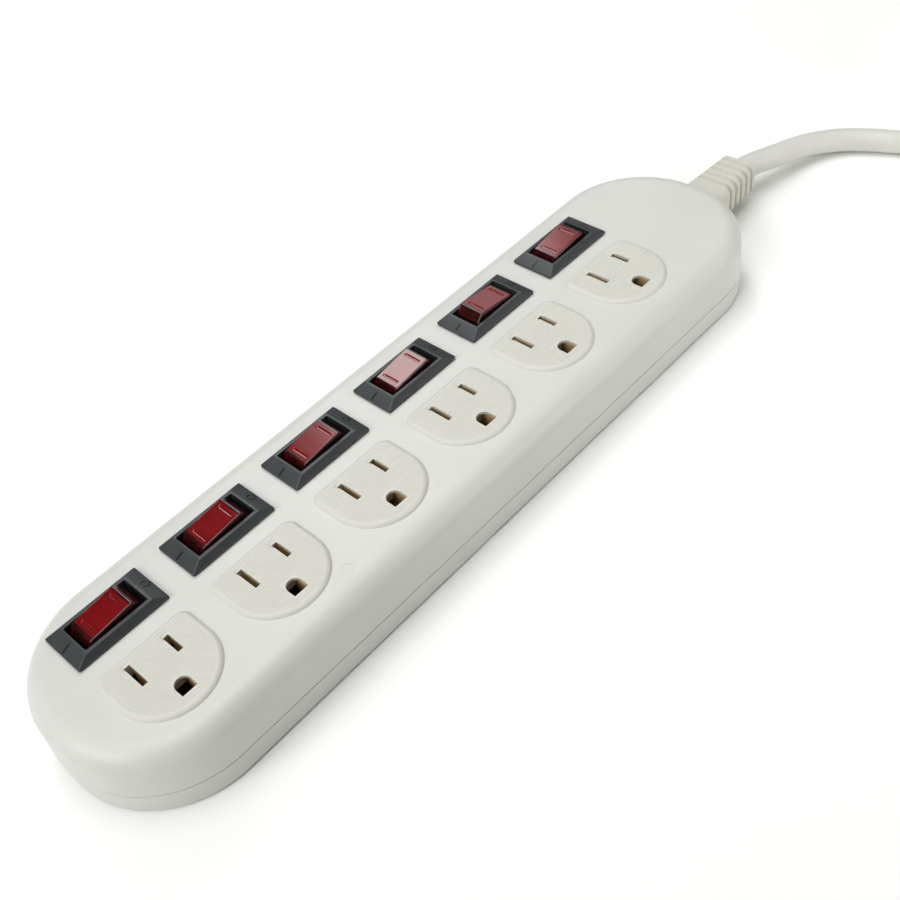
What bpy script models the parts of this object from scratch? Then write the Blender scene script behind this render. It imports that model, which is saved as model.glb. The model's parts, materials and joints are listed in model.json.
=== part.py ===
"""A six-outlet power strip with a rocker switch beside each outlet.

Metres, +Z up. X runs along the strip with the cord at +X, the switches lie at +Y of the outlets
and the strip stands on Z = 0. Each rocker turns about an axis along Y at its object's origin.
"""

import math

import bmesh
import bpy
from mathutils import Matrix, Vector

for old in list(bpy.data.objects):
    bpy.data.objects.remove(old, do_unlink=True)

GAP = 0.0003  # between touching pieces

# Housing
HOUSING_LENGTH = 0.290
HOUSING_WIDTH = 0.070
HOUSING_TOP = 0.025
HOUSING_X = -0.0145  # middle of the housing, which makes room for the strain relief at +X
PLAN_RADIUS = 0.033
EDGE_RADIUS = 0.007
FOOT_RADIUS = 0.0012
SEAM_HEIGHT = 0.010
COVER_WALL = 0.0022
COVER_DRAFT = 0.0003  # how far the cover's wall leans inward
BASE_WALL = 0.0035
LIP_OFFSET = 0.0025
LIP_TOP = 0.0115
FLOOR_TOP = 0.0022
COVER_UNDERSIDE = HOUSING_TOP - COVER_WALL
HOUSING_END = HOUSING_X + HOUSING_LENGTH / 2

# Outlets and switches, one pair every pitch
PITCH = 0.0395
FIRST_X = -0.12695
STATIONS = [FIRST_X + PITCH * k for k in range(6)]
SLOT_Y = -0.00615
BLADE_X = 0.00635  # each blade slot from the outlet's middle
BLADE_WIDTH = 0.0019
NEUTRAL_SLOT = (0.0087, 0.00045)  # length, and how far past SLOT_Y its middle lies
HOT_SLOT = (0.0071, 0.0006)
GROUND_Y = SLOT_Y - 0.0119
GROUND_RADIUS = 0.0025
GROUND_FLAT = 0.0030  # flat side of the ground hole, below its middle
FACE_RADIUS = 0.0155
FACE_ARC_Y = SLOT_Y - 0.0038
FACE_CHORD_Y = SLOT_Y + 0.0080
FACE_CORNER = 0.003
FACE_RISE = 0.001
FACE_FLANGE = 0.0012
FACE_BOTTOM = HOUSING_TOP - 0.0037
LEAD_IN = (0.0030, 0.0022, 0.0004)  # width, length and depth of the recess at a slot's end
LEAD_IN_PAST = 0.0006  # how far it reaches past the slot
POCKET_TOP = HOUSING_TOP  # of the hollows under the slots, which the contacts reach into
POCKET_ROOM = 0.0004  # between a contact and its hollow

SWITCH_Y = 0.0159
BEZEL = (0.0154, 0.0082)  # half length and half width
BEZEL_EDGE = 0.0008
BEZEL_RIM = HOUSING_TOP + 0.0027
OPENING = (0.0105, 0.0055)
RIM_WIDTH = 0.0012
BODY = (0.0137, 0.0067)
BODY_BOTTOM = HOUSING_TOP - 0.0115
BODY_FLOOR = HOUSING_TOP - 0.0090
TAB_SLOT_WIDTH = 0.0038
TAB_SLOT_TOP = 0.0153

PIVOT_HEIGHT = HOUSING_TOP - 0.0025
ROCKER_TILT = math.radians(6.5)
ROCKER_TOP = 0.0065
ROCKER_FLAT = 0.0074
ROCKER_END = (0.0092, 0.0036)  # where the end's bevel starts
ROCKER_FOOT = (0.0086, -0.0040)
ROCKER_HALF_WIDTH = 0.0048
LAMP_HOLLOW = ((-0.0079, 0.0079), (-0.0038, 0.0038), (-0.0050, 0.0050))
GRIP_X = 0.0051
GRIP = (0.0009, 0.0067, 0.0003)  # width, length and depth of a grip groove
TRUNNION_RADIUS = 0.00125
TRUNNION_END = 0.0064
PRESSED_TOWARDS_CORD = (False, False, False, False, True, False)

# Fixings
SCREW_X = [(STATIONS[k] + STATIONS[k + 1]) / 2 for k in (0, 2, 4)]
SCREW_Y = (0.0273, -0.0265)
SCREW_HEAD = (0.0031, 0.0006, 0.0028)  # radius, underside and top
SCREW_SHAFT = (0.0015, 0.0160)
POST_RADIUS = 0.0042
POST_TOP = 0.0080
BOSS_RADIUS = 0.0032
BOSS_TOP = HOUSING_TOP - 0.0015
SCREW_POCKET = (0.0034, 0.0031)  # radius and depth
SCREW_HOLE = 0.0018

# Contacts inside the housing
SHEET = 0.0008
FINGER = 0.0006
FINGER_TOP = 0.0247
NEUTRAL_Y = (-0.0100, -0.0019)
GROUND_BUS_Y = (-0.0210, -0.0150)
BUS_BOTTOM = 0.0040
BUS_X = (-0.1450, 0.0900)
LIVE_Y = 0.0184
LIVE_Z = (0.0082, 0.0125)
TAB_WIDTH = 0.0030
TAB_TOP = 0.0150
CARRIER_Z = (0.0052, 0.0079)
CARRIER_Y = (-0.0120, 0.0015)
CARRIER_X = (-0.1460, 0.0890)
HOT_BOTTOM = 0.0082
HOT_TAB_Y = 0.0130
STRAP_WIDTH = 0.0028
STRAP_THINNER = 0.00005  # on each side than the strip it grows out of
PIN_GRIP = 0.0048
LINE_WIRE = [
    (0.1225, 0.0042, 0.0110),
    (0.1110, 0.0100, 0.0109),
    (0.0990, 0.0172, 0.0105),
    (0.0907, 0.0188, 0.01035),
]
NEUTRAL_WIRE = [
    (0.1225, 0.0, 0.0110),
    (0.1120, -0.0020, 0.0085),
    (0.1000, -0.0053, 0.0050),
    (0.0907, -0.00615, 0.0044),
]
GROUND_WIRE = [
    (0.1225, -0.0042, 0.0110),
    (0.1120, -0.0090, 0.0087),
    (0.1000, -0.0163, 0.0050),
    (0.0907, -0.0180, 0.0044),
]

# Cord, strain relief and plug
CORD_RADIUS = 0.0045
CORD_HEIGHT = 0.011
WIRE_RADIUS = 0.0014
RELIEF_ROOT = HOUSING_END + 0.00035
RELIEF_END = 0.1595
RELIEF_INNER = 0.1230
RELIEF_FLANGE = 0.0030
RELIEF_FLANGE_HALF = (0.0085, 0.0065)
RELIEF_NECK_HALF = 0.0048
RELIEF_ROOT_HALF = (0.0084, 0.0066)
RELIEF_TIP_HALF = (0.0073, 0.0061)
RELIEF_SMOOTH = 0.0103  # length before the first groove
RELIEF_PITCH = 0.0037
RELIEF_GROOVES = 5
RELIEF_GROOVE = 0.0011  # depth
NOTCH_HALF_WIDTH = 0.0068
NOTCH_Z = (0.0060, 0.0163)
LEAD_ROUTE = [
    (0.1609, 0.0000, 0.0110),
    (0.1670, -0.0012, 0.0108),
    (0.1792, -0.0049, 0.0095),
    (0.1940, -0.0089, 0.0072),
    (0.2064, -0.0167, 0.0053),
    (0.2140, -0.0272, 0.0046),
    (0.2184, -0.0367, 0.0045),
    (0.2264, -0.0481, 0.0045),
    (0.2382, -0.0558, 0.0045),
    (0.2521, -0.0585, 0.0045),
    (0.2680, -0.0585, 0.0048),
    (0.2825, -0.0585, 0.0054),
]
TAIL_ROUTE = [
    (0.4534, -0.0252, 0.0150),
    (0.4526, -0.0140, 0.0100),
    (0.4475, -0.0023, 0.0063),
    (0.4385, 0.0074, 0.0052),
    (0.4280, 0.0126, 0.0072),
    (0.4170, 0.0145, 0.0118),
    (0.4068, 0.0145, 0.0130),
]
CORD_STEP = 0.018
HANK_LEFT = 0.3050  # middle of the fold nearer the strip
HANK_RIGHT = 0.4170
HANK_Y = -0.0315
HANK_FOLD = 0.0270  # middle of the cord, from the middle of a fold
HANK_BOTTOM = 0.0011
HANK_LAYERS = 3
TIE_X = (0.3200, 0.3320)
TIE_SHEET = 0.0008
PLUG_FRONT = 0.3573
PLUG_Y = 0.0145
PLUG_HALF_WIDTH = 0.013
PLUG_HEIGHT = 0.0275
PLUG_BACK = 0.3873
PLUG_TAIL = 0.4053
PLUG_BLADE_Z = 0.0090
PLUG_PIN_Z = PLUG_BLADE_Z + 0.0119
PLUG_BLADE = (0.0170, 0.0015, 0.0063)  # length outside the plug, thickness and width
BLADE_HOLE = (0.0117, 0.0016)  # from the plug's face, and radius
GROUND_PIN = (0.0210, 0.0024)  # length outside the plug, and radius
PRONG_ROOT = 0.0040  # length inside the plug


def material(name, colour, roughness, metallic=0.0):
    made = bpy.data.materials.new(name)
    made.use_nodes = True
    shader = made.node_tree.nodes["Principled BSDF"]
    shader.inputs["Base Color"].default_value = (*colour, 1.0)
    shader.inputs["Roughness"].default_value = roughness
    shader.inputs["Metallic"].default_value = metallic
    made.diffuse_color = (*colour, 1.0)
    return made


WHITE = (0.74, 0.74, 0.69)
FACE_WHITE = (0.66, 0.65, 0.59)
DARK = (0.048, 0.054, 0.058)
RED = (0.36, 0.012, 0.014)
BRASS = (0.72, 0.52, 0.24)
STEEL = (0.55, 0.55, 0.55)
NEON = (0.85, 0.45, 0.25)
CORD_WHITE = (0.78, 0.77, 0.72)


def loft(rings):
    """A closed solid through rings of one point count, capped at both ends."""
    shape = bmesh.new()
    loops = [[shape.verts.new(point) for point in ring] for ring in rings]
    shape.faces.new(loops[0])
    shape.faces.new(loops[-1])
    for lower, upper in zip(loops, loops[1:]):
        for i, corner in enumerate(lower):
            j = (i + 1) % len(lower)
            shape.faces.new((corner, lower[j], upper[j], upper[i]))
    bmesh.ops.recalc_face_normals(shape, faces=shape.faces)
    return shape


def prism(outline, low, high):
    """A plan outline carried from one height to another."""
    return loft([[(x, y, z) for x, y in outline] for z in (low, high)])


def side_prism(profile, near, far):
    """A profile in X and Z carried along Y."""
    return loft([[(x, y, z) for x, z in profile] for y in (near, far)])


def box(x, y, z):
    """A box from its (low, high) along each axis."""
    return prism([(x[0], y[0]), (x[1], y[0]), (x[1], y[1]), (x[0], y[1])], *z)


def arc(centre, radius, start, end, steps):
    """Points from one angle to another, in degrees, both ends included."""
    angles = [math.radians(start + (end - start) * i / steps) for i in range(steps + 1)]
    return [(centre[0] + radius * math.cos(a), centre[1] + radius * math.sin(a)) for a in angles]


def circle(x, y, radius, steps=16):
    return arc((x, y), radius, 0, 360 - 360 / steps, steps - 1)


def rounded(half_x, half_y, radius, steps, centre=(0.0, 0.0)):
    """A rectangle with round corners, anticlockwise."""
    points = []
    for quarter, (sx, sy) in enumerate(((1, 1), (-1, 1), (-1, -1), (1, -1))):
        corner = (centre[0] + sx * (half_x - radius), centre[1] + sy * (half_y - radius))
        points += arc(corner, radius, 90 * quarter, 90 * quarter + 90, steps)
    return points


def turned(profile, steps=16):
    """A solid of revolution about Z from (radius, height) pairs."""
    return loft([[(x, y, z) for x, y in circle(0, 0, r, steps)] for r, z in profile])


def moved(shape, x=0.0, y=0.0, z=0.0):
    """The same shape, shifted."""
    bmesh.ops.translate(shape, verts=shape.verts, vec=(x, y, z))
    return shape


def together(shapes):
    """Solids that don't touch, as one shape to join or cut in one step."""
    whole = bmesh.new()
    for shape in shapes:
        part = bpy.data.meshes.new("part")
        shape.to_mesh(part)
        shape.free()
        whole.from_mesh(part)
        bpy.data.meshes.remove(part)
    return whole


def bare_object(name, shape):
    mesh = bpy.data.meshes.new(name)
    shape.to_mesh(mesh)
    shape.free()
    made = bpy.data.objects.new(name, mesh)
    bpy.context.scene.collection.objects.link(made)
    return made


def carved(shape, joins=(), cuts=()):
    """The mesh of a solid with others joined to it and cut from it, in that order."""
    body = bare_object("carved", shape)
    tools = []
    for operation, others in (("UNION", joins), ("DIFFERENCE", cuts)):
        for other in others:
            tool = bare_object("tool", other)
            step = body.modifiers.new(operation, "BOOLEAN")
            step.operation = operation
            step.solver = "EXACT"
            step.object = tool
            tools.append(tool)
    depsgraph = bpy.context.evaluated_depsgraph_get()
    mesh = bpy.data.meshes.new_from_object(body.evaluated_get(depsgraph))
    for helper in (body, *tools):
        bpy.data.objects.remove(helper)
    return mesh


def sub_part(name, mesh, look, place=(0.0, 0.0, 0.0), tilt=0.0):
    """One piece in the scene, turned about Y by its tilt, with its own material."""
    mesh.shade_smooth()
    mesh.set_sharp_from_angle(angle=math.radians(35))
    made = bpy.data.objects.new(name, mesh)
    made.location = place
    made.rotation_euler = (0.0, tilt, 0.0)
    made.data.materials.clear()
    made.data.materials.append(look)
    bpy.context.scene.collection.objects.link(made)
    return made


def smooth_line(route, spacing):
    """Points a spacing apart on a Catmull-Rom curve through the route's points."""
    points = [Vector(p) for p in route]
    ends = [2 * points[0] - points[1], *points, 2 * points[-1] - points[-2]]
    fine = []
    for before, start, end, after in zip(ends, ends[1:], ends[2:], ends[3:]):
        for i in range(16):
            t = i / 16
            linear = (end - before) * t
            square = (2 * before - 5 * start + 4 * end - after) * t**2
            cube = (3 * start - before - 3 * end + after) * t**3
            fine.append(start + (linear + square + cube) / 2)
    fine.append(points[-1])
    along = [0.0]
    for start, end in zip(fine, fine[1:]):
        along.append(along[-1] + (end - start).length)
    count = round(along[-1] / spacing)
    line = []
    for i in range(count + 1):
        wanted = along[-1] * i / count
        k = min(max(k for k, a in enumerate(along) if a <= wanted), len(fine) - 2)
        share = (wanted - along[k]) / (along[k + 1] - along[k])
        line.append(fine[k].lerp(fine[k + 1], share))
    return line


def tube(name, route, radius, spacing, look):
    curve = bpy.data.curves.new(name, "CURVE")
    curve.dimensions = "3D"
    curve.bevel_depth = radius
    curve.bevel_resolution = 2
    curve.use_fill_caps = True
    line = smooth_line(route, spacing)
    spline = curve.splines.new("POLY")
    spline.points.add(len(line) - 1)
    for point, place in zip(spline.points, line):
        point.co = (*place, 1.0)
    curve.materials.append(look)
    bpy.context.scene.collection.objects.link(bpy.data.objects.new(name, curve))


# Housing


def plan(offset, z):
    """The housing's outline at a height, moved outward by an offset."""
    outline = rounded(
        HOUSING_LENGTH / 2 + offset,
        HOUSING_WIDTH / 2 + offset,
        PLAN_RADIUS + offset,
        8,
        (HOUSING_X, 0.0),
    )
    return [(x, y, z) for x, y in outline]


def edge_rings(wall, radius, top, steps):
    """Rings up a rounded edge whose wall stands at an offset, ending on the flat top."""
    rings = []
    for i in range(steps + 1):
        turn = math.radians(90 * i / steps)
        inward = radius * (1 - math.cos(turn))
        rings.append(plan(wall - inward, top - radius * (1 - math.sin(turn))))
    return rings


def face_outline(offset):
    """A D with its straight side towards the switches, anticlockwise, about X = 0."""
    half = FACE_RADIUS + offset
    corner = FACE_CORNER + offset
    top = FACE_CHORD_Y + offset - corner
    right = arc((half - corner, top), corner, 0, 90, 3)
    left = arc((corner - half, top), corner, 90, 180, 3)
    return right + left + arc((0.0, FACE_ARC_Y), half, 180, 360, 16)


def notch():
    """The opening in the cord end's wall, shared by the cover and the base."""
    x = (RELIEF_INNER + RELIEF_FLANGE + GAP, HOUSING_END + 0.001)
    return box(x, (-NOTCH_HALF_WIDTH, NOTCH_HALF_WIDTH), NOTCH_Z)


def at_screws(shape_maker):
    """A new shape from the maker at each screw, all as one."""
    return together([moved(shape_maker(), x, y) for x in SCREW_X for y in SCREW_Y])


def top_cover(look):
    bottom = SEAM_HEIGHT + GAP / 2
    inner = edge_rings(-COVER_WALL, EDGE_RADIUS - COVER_WALL, COVER_UNDERSIDE, 3)
    outer = edge_rings(-COVER_DRAFT, EDGE_RADIUS - COVER_DRAFT, HOUSING_TOP, 5)
    shell = loft([*reversed(inner), plan(-COVER_WALL, bottom), plan(0.0, bottom), *outer])
    bosses = at_screws(lambda: prism(circle(0, 0, BOSS_RADIUS), POST_TOP + GAP, BOSS_TOP))
    holes = at_screws(lambda: prism(circle(0, 0, SCREW_HOLE), 0.0, SCREW_SHAFT[1] + 0.001))
    face_cut = (HOUSING_TOP - 0.010, HOUSING_TOP + 0.002)
    faces = [moved(prism(face_outline(0.0), *face_cut), x) for x in STATIONS]
    hole = rounded(BODY[0] + GAP, BODY[1] + GAP, 0.0006, 1)
    switches = [moved(prism(hole, *face_cut), x, SWITCH_Y) for x in STATIONS]
    cuts = [holes, together(faces), together(switches), notch()]
    return sub_part("top_cover", carved(shell, [bosses], cuts), look)


def bottom_base(look):
    top = SEAM_HEIGHT - GAP / 2
    foot = edge_rings(0.0, FOOT_RADIUS, 0.0, 2)
    foot = [[(x, y, -z) for x, y, z in ring] for ring in reversed(foot)]
    lip = [plan(-LIP_OFFSET, top), plan(-LIP_OFFSET, LIP_TOP), plan(-BASE_WALL, LIP_TOP)]
    shell = loft([*foot, plan(0.0, top), *lip, plan(-BASE_WALL, FLOOR_TOP)])
    posts = at_screws(lambda: prism(circle(0, 0, POST_RADIUS), FLOOR_TOP / 2, POST_TOP))
    ribs = [
        box((x - 0.001, x + 0.001), y, (FLOOR_TOP / 2, BUS_BOTTOM - GAP))
        for x in (*SCREW_X, STATIONS[1], STATIONS[3], STATIONS[5])
        for y in (NEUTRAL_Y, GROUND_BUS_Y)
    ]
    pocket, depth = SCREW_POCKET
    bore = [(pocket, -0.001), (pocket, depth), (SCREW_HOLE, depth), (SCREW_HOLE, POST_TOP + 0.001)]
    cuts = [at_screws(lambda: turned(bore)), notch()]
    return sub_part("bottom_base", carved(shell, [posts, together(ribs)], cuts), look)


# Outlets and switches


def contact_pocket(x, inner, y):
    """The hollow under a slot for its contact's fingers, which stand inner to each side of it."""
    half = inner + FINGER + POCKET_ROOM
    wide = (y[0] - POCKET_ROOM, y[1] + POCKET_ROOM)
    return box((x - half, x + half), wide, (FACE_BOTTOM - 0.001, POCKET_TOP))


def outlet_face_mesh():
    """One face about X = 0: a raised plate with a flange under the cover."""
    flange_top = COVER_UNDERSIDE - GAP
    levels = [
        (FACE_FLANGE, FACE_BOTTOM),
        (FACE_FLANGE, flange_top),
        (-GAP, flange_top),
        (-GAP, HOUSING_TOP + FACE_RISE - 0.0006),
        (-GAP - 0.0002, HOUSING_TOP + FACE_RISE - 0.0002),
        (-GAP - 0.0006, HOUSING_TOP + FACE_RISE),
    ]
    plate = loft([[(x, y, z) for x, y in face_outline(offset)] for offset, z in levels])
    through = (FACE_BOTTOM - 0.001, HOUSING_TOP + 0.002)
    recess_width, recess_length, recess_depth = LEAD_IN
    lead_in = (HOUSING_TOP + FACE_RISE - recess_depth, HOUSING_TOP + 0.002)
    half = BLADE_WIDTH / 2
    slots = []
    recesses = []
    pockets = [contact_pocket(0.0, PIN_GRIP / 2, GROUND_BUS_Y)]
    for side, (length, past) in ((-1, NEUTRAL_SLOT), (1, HOT_SLOT)):
        x = side * BLADE_X
        end = SLOT_Y + past + length / 2
        slots.append(box((x - half, x + half), (end - length, end), through))
        wide = (x - recess_width / 2, x + recess_width / 2)
        far = end + LEAD_IN_PAST
        recesses.append(box(wide, (far - recess_length, far), lead_in))
        pockets.append(contact_pocket(x, half, NEUTRAL_Y))
    ground = arc((0.0, GROUND_Y), GROUND_RADIUS, 0, 180, 8)
    ground += [(-GROUND_RADIUS, GROUND_Y - GROUND_FLAT), (GROUND_RADIUS, GROUND_Y - GROUND_FLAT)]
    slots.append(prism(ground, *through))
    return carved(plate, cuts=[together(slots), together(recesses), together(pockets)])


def switch_body_mesh():
    """One frame and its box about the switch's middle: a sloped bezel, a rim and a deep well."""
    edge_top = HOUSING_TOP + GAP + BEZEL_EDGE
    rim = (OPENING[0] + RIM_WIDTH, OPENING[1] + RIM_WIDTH)
    levels = [
        (BODY, BODY_BOTTOM),
        (BODY, HOUSING_TOP + GAP),
        (BEZEL, HOUSING_TOP + GAP),
        (BEZEL, edge_top),
        (rim, BEZEL_RIM),
        (OPENING, BEZEL_RIM),
        (OPENING, BODY_FLOOR),
    ]
    frame = loft([[(x, y, z) for x, y in rounded(*half, 0.0006, 1)] for half, z in levels])
    bearing = circle(0, 0, TRUNNION_RADIUS + GAP, 10)
    wall = (-BODY[1] - 0.001, BODY[1] + 0.001)
    bearings = side_prism([(x, PIVOT_HEIGHT + z) for x, z in bearing], *wall)
    tab_z = (BODY_BOTTOM - 0.001, TAB_SLOT_TOP)
    half = TAB_SLOT_WIDTH / 2
    tab_slots = []
    for x, near in ((-BLADE_X, LIVE_Y - SWITCH_Y), (BLADE_X, HOT_TAB_Y - SWITCH_Y)):
        tab_slots.append(box((x - half, x + half), (near - GAP, near + SHEET + GAP), tab_z))
    return carved(frame, cuts=[bearings, together(tab_slots)])


def rocker_mesh():
    """One rocker about its pivot: bevelled ends, two grips, a hollow for the lamp and trunnions."""
    right = [ROCKER_FOOT, ROCKER_END, (ROCKER_FLAT, ROCKER_TOP)]
    left = [(-x, z) for x, z in reversed(right)]
    cap = side_prism(right + left, -ROCKER_HALF_WIDTH, ROCKER_HALF_WIDTH)
    pin = circle(0, 0, TRUNNION_RADIUS, 10)
    width, length, depth = GRIP
    grip = rounded(width / 2, length / 2, width / 2.01, 3)
    pins = []
    grips = []
    for side in (-1, 1):
        pins.append(side_prism(pin, side * (ROCKER_HALF_WIDTH - 0.0005), side * TRUNNION_END))
        groove = prism(grip, ROCKER_TOP - depth, ROCKER_TOP + 0.001)
        grips.append(moved(groove, side * GRIP_X))
    hollow = box(*LAMP_HOLLOW)
    return carved(cap, [together(pins)], [hollow, together(grips)])


def lamp_mesh():
    """A neon lamp lying along X, with a drawn tip at one end."""
    profile = [(0.0012, -0.0050), (0.0020, -0.0044), (0.0020, 0.0035), (0.0014, 0.0045)]
    lamp = turned([*profile, (0.0004, 0.0056)], 12)
    bmesh.ops.rotate(lamp, verts=lamp.verts, matrix=Matrix.Rotation(math.radians(90), 3, "Y"))
    return carved(moved(lamp, z=0.0026))


# Contacts


def comb(x, z, fingers, top):
    """An X and Z profile of a strip with a finger standing on each (low, high) span."""
    profile = [(x[0], z[0]), (x[1], z[0]), (x[1], z[1])]
    for low, high in reversed(fingers):
        profile += [(high, z[1]), (high, top), (low, top), (low, z[1])]
    return [*profile, (x[0], z[1])]


def grip_pair(middle, gap):
    """The spans of two fingers that hold a blade or pin from both sides."""
    low = middle - gap / 2
    high = middle + gap / 2
    return [(low - FINGER, low), (high, high + FINGER)]


def bus(name, gap, offset, y, look):
    strip = (BUS_BOTTOM, BUS_BOTTOM + SHEET)
    fingers = [span for x in STATIONS for span in grip_pair(x + offset, gap)]
    return sub_part(name, carved(side_prism(comb(BUS_X, strip, fingers, FINGER_TOP), *y)), look)


def live_bus(look):
    half = TAB_WIDTH / 2
    tabs = [(x - BLADE_X - half, x - BLADE_X + half) for x in STATIONS]
    profile = comb(BUS_X, LIVE_Z, tabs, TAB_TOP)
    return sub_part("live_bus", carved(side_prism(profile, LIVE_Y, LIVE_Y + SHEET)), look)


def hot_contact_mesh():
    """One clip about X = 0 at the hot slot, with a strap to its switch."""
    outer = BLADE_WIDTH / 2 + FINGER
    strip = (HOT_BOTTOM, HOT_BOTTOM + SHEET)
    spans = grip_pair(0.0, BLADE_WIDTH)
    clip = side_prism(comb((-outer - 0.0001, outer + 0.0001), strip, spans, FINGER_TOP), *NEUTRAL_Y)
    half = STRAP_WIDTH / 2
    low = HOT_BOTTOM + STRAP_THINNER
    high = HOT_BOTTOM + SHEET - STRAP_THINNER
    start = NEUTRAL_Y[1] - 0.001
    far = HOT_TAB_Y + SHEET
    lower = [(start, low), (far, low), (far, TAB_TOP)]
    upper = [(HOT_TAB_Y, TAB_TOP), (HOT_TAB_Y, high), (start, high)]
    strap = loft([[(x, y, z) for y, z in lower + upper] for x in (-half, half)])
    return carved(clip, [strap])


def contact_carrier(look):
    """A plate that keeps the neutral strip below the hot clips, on two side rails."""
    rail_z = (FLOOR_TOP + GAP, CARRIER_Z[0] + 0.001)
    plate = box(CARRIER_X, CARRIER_Y, CARRIER_Z)
    near, far = CARRIER_Y
    rails = [box(CARRIER_X, y, rail_z) for y in ((near, near + 0.0015), (far - 0.0015, far))]
    half = BLADE_WIDTH / 2 + FINGER + POCKET_ROOM
    window_y = (NEUTRAL_Y[0] - POCKET_ROOM, NEUTRAL_Y[1] + POCKET_ROOM)
    window_z = (CARRIER_Z[0] - 0.001, CARRIER_Z[1] + 0.001)
    windows = [box((x - BLADE_X - half, x - BLADE_X + half), window_y, window_z) for x in STATIONS]
    return sub_part("contact_carrier", carved(plate, [together(rails)], [together(windows)]), look)


def screw_mesh():
    """A case screw about its own axis, head down, with a cross recess."""
    head, bottom, top = SCREW_HEAD
    shaft, tip = SCREW_SHAFT
    profile = [(head * 0.8, bottom), (head, bottom + 0.0006), (head, top)]
    profile += [(shaft, top), (shaft, tip)]
    arm = (-0.0004, 0.0004)
    span = (-0.0016, 0.0016)
    depth = (bottom - 0.001, bottom + 0.0012)
    return carved(turned(profile), cuts=[box(span, arm, depth), box(arm, span, depth)])


# Cord, strain relief and plug


def strain_relief(look):
    """A ribbed boot with a neck through the wall and a flange inside."""

    def ring(x, half_y, half_z):
        section = rounded(half_y, half_z, 0.0030, 3, (0.0, CORD_HEIGHT))
        return [(x, y, z) for y, z in section]

    flange = RELIEF_FLANGE_HALF
    neck = (NOTCH_HALF_WIDTH - GAP, RELIEF_NECK_HALF)
    root = RELIEF_ROOT_HALF
    tip = RELIEF_TIP_HALF
    wall = RELIEF_INNER + RELIEF_FLANGE
    rings = [ring(RELIEF_INNER, *flange), ring(wall, *flange), ring(wall, *neck)]
    rings += [ring(RELIEF_ROOT, *neck), ring(RELIEF_ROOT, *root)]
    profile = ((0.0, 0.0), (0.0004, RELIEF_GROOVE), (0.0013, RELIEF_GROOVE), (0.0017, 0.0))
    length = RELIEF_END - RELIEF_ROOT
    for k in range(RELIEF_GROOVES):
        for start, inset in profile:
            x = RELIEF_ROOT + RELIEF_SMOOTH + RELIEF_PITCH * k + start
            share = (x - RELIEF_ROOT) / length
            half_y = root[0] + (tip[0] - root[0]) * share
            half_z = root[1] + (tip[1] - root[1]) * share
            rings.append(ring(x, half_y - inset, half_z - inset))
    rings.append(ring(RELIEF_END, *tip))
    return sub_part("strain_relief", carved(loft(rings)), look)


def cord_hank(look):
    """The outer shape of the folded length: a block with round ends."""
    half = (HANK_RIGHT - HANK_LEFT) / 2
    reach = HANK_FOLD + CORD_RADIUS
    middle = (HANK_LEFT + HANK_RIGHT) / 2
    outline = rounded(half + reach, reach, reach * 0.9999, 10, (middle, HANK_Y))
    top = HANK_BOTTOM + HANK_LAYERS * 2 * CORD_RADIUS
    return sub_part("cord_hank", carved(prism(outline, HANK_BOTTOM, top)), look)


def cord_tie(look):
    """A strap round the whole hank."""
    reach = HANK_FOLD + CORD_RADIUS + GAP
    top = HANK_BOTTOM + HANK_LAYERS * 2 * CORD_RADIUS + GAP
    wide = (HANK_Y - reach - TIE_SHEET, HANK_Y + reach + TIE_SHEET)
    strap = box(TIE_X, wide, (HANK_BOTTOM - GAP - TIE_SHEET, top + TIE_SHEET))
    inside = (TIE_X[0] - 0.001, TIE_X[1] + 0.001)
    hole = box(inside, (HANK_Y - reach, HANK_Y + reach), (HANK_BOTTOM - GAP, top))
    return sub_part("cord_tie", carved(strap, cuts=[hole]), look)


def plug_body(look):
    """A moulded plug lying on its flat side, blades towards the strip."""

    def ring(x, half_y, low, high, radius):
        half_z = (high - low) / 2
        section = rounded(half_y, half_z, radius, 4, (PLUG_Y, (high + low) / 2))
        return [(x, y, z) for y, z in section]

    height = PLUG_HEIGHT
    rings = [
        ring(PLUG_FRONT, PLUG_HALF_WIDTH - 0.001, 0.0013, height - 0.001, 0.0055),
        ring(PLUG_FRONT + 0.001, PLUG_HALF_WIDTH, 0.0003, height, 0.0060),
        ring(PLUG_FRONT + 0.016, PLUG_HALF_WIDTH, 0.0003, height, 0.0060),
        ring(PLUG_BACK - 0.006, PLUG_HALF_WIDTH - 0.0035, 0.0025, height - 0.004, 0.0060),
        ring(PLUG_BACK, 0.0070, 0.0055, 0.0205, 0.0060),
        ring(PLUG_TAIL, 0.0056, 0.0074, 0.0186, 0.0052),
    ]
    thin, wide = PLUG_BLADE[1:]
    depth = (PLUG_FRONT - 0.001, PLUG_FRONT + PRONG_ROOT + GAP)
    sockets = []
    for side in (-1, 1):
        outline = rectangle(thin / 2 + GAP, wide / 2 + GAP, (PLUG_Y + side * BLADE_X, PLUG_BLADE_Z))
        sockets.append(loft([[(x, y, z) for y, z in outline] for x in depth]))
    outline = circle(PLUG_Y, PLUG_PIN_Z, GROUND_PIN[1] + GAP, 12)
    sockets.append(loft([[(x, y, z) for y, z in outline] for x in depth]))
    return sub_part("plug_body", carved(loft(rings), cuts=[together(sockets)]), look)


def rectangle(half_x, half_y, centre):
    x, y = centre
    signs = ((-1, -1), (1, -1), (1, 1), (-1, 1))
    return [(x + sx * half_x, y + sy * half_y) for sx, sy in signs]


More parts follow.
